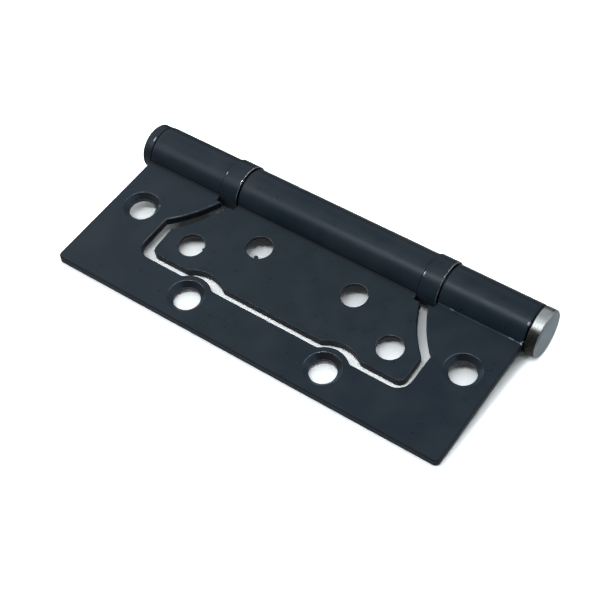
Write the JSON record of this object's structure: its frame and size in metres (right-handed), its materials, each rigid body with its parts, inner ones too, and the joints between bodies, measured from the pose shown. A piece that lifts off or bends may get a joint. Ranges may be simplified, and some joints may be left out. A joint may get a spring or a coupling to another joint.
{
  "type": "non-mortise hinge",
  "caption": "Flat door hinge whose small inner leaf nests in a window in the outer leaf, on a headed pin with collared ball bearings between the knuckles.",
  "frame": {"origin": "on the pin axis, halfway along the leaves", "axes": "+X along the pin to its bare steel head, -Y from the barrel across the leaves to their free edge, +Z normal to the outer leaf on its countersunk side"},
  "size_m": [0.1058, 0.0455, 0.012],
  "materials": {
    "black_coating": "satin black coating",
    "bare_steel": "turned bare steel",
    "bearing_steel": "polished bearing steel",
    "cage_steel": "stamped steel"
  },
  "bodies": {
    "outer": {"outer_leaf": "black_coating", "hinge_pin": "bare_steel", "end_plug": "black_coating", "plug_bearing_shell": "black_coating", "plug_bearing_seat_race": "bearing_steel", "head_bearing_cover_race": "bearing_steel"},
    "inner": {"inner_leaf": "black_coating", "plug_bearing_cover_race": "bearing_steel", "head_bearing_shell": "black_coating", "head_bearing_seat_race": "bearing_steel"},
    "plug_balls": {"plug_bearing_cage": "cage_steel", "plug_bearing_ball_1": "bearing_steel", "plug_bearing_ball_2": "bearing_steel", "plug_bearing_ball_3": "bearing_steel", "plug_bearing_ball_4": "bearing_steel", "plug_bearing_ball_5": "bearing_steel", "plug_bearing_ball_6": "bearing_steel", "plug_bearing_ball_7": "bearing_steel", "plug_bearing_ball_8": "bearing_steel"},
    "head_balls": {"head_bearing_cage": "cage_steel", "head_bearing_ball_1": "bearing_steel", "head_bearing_ball_2": "bearing_steel", "head_bearing_ball_3": "bearing_steel", "head_bearing_ball_4": "bearing_steel", "head_bearing_ball_5": "bearing_steel", "head_bearing_ball_6": "bearing_steel", "head_bearing_ball_7": "bearing_steel", "head_bearing_ball_8": "bearing_steel"}
  },
  "joints": [
    {"name": "leaf_swing", "type": "hinge", "parent": "outer", "child": "inner", "pos_m": [0, 0, 0], "axis": [-1, 0, 0], "continuous": true},
    {"name": "plug_balls_roll", "type": "hinge", "parent": "outer", "child": "plug_balls", "pos_m": [-0.0268, 0, 0], "axis": [-1, 0, 0], "continuous": true},
    {"name": "head_balls_roll", "type": "hinge", "parent": "outer", "child": "head_balls", "pos_m": [0.0268, 0, 0], "axis": [-1, 0, 0], "continuous": true}
  ],
  "couplings": [
    {"joint": "plug_balls_roll", "follows": "leaf_swing", "ratio": 0.5},
    {"joint": "head_balls_roll", "follows": "leaf_swing", "ratio": 0.5}
  ]
}
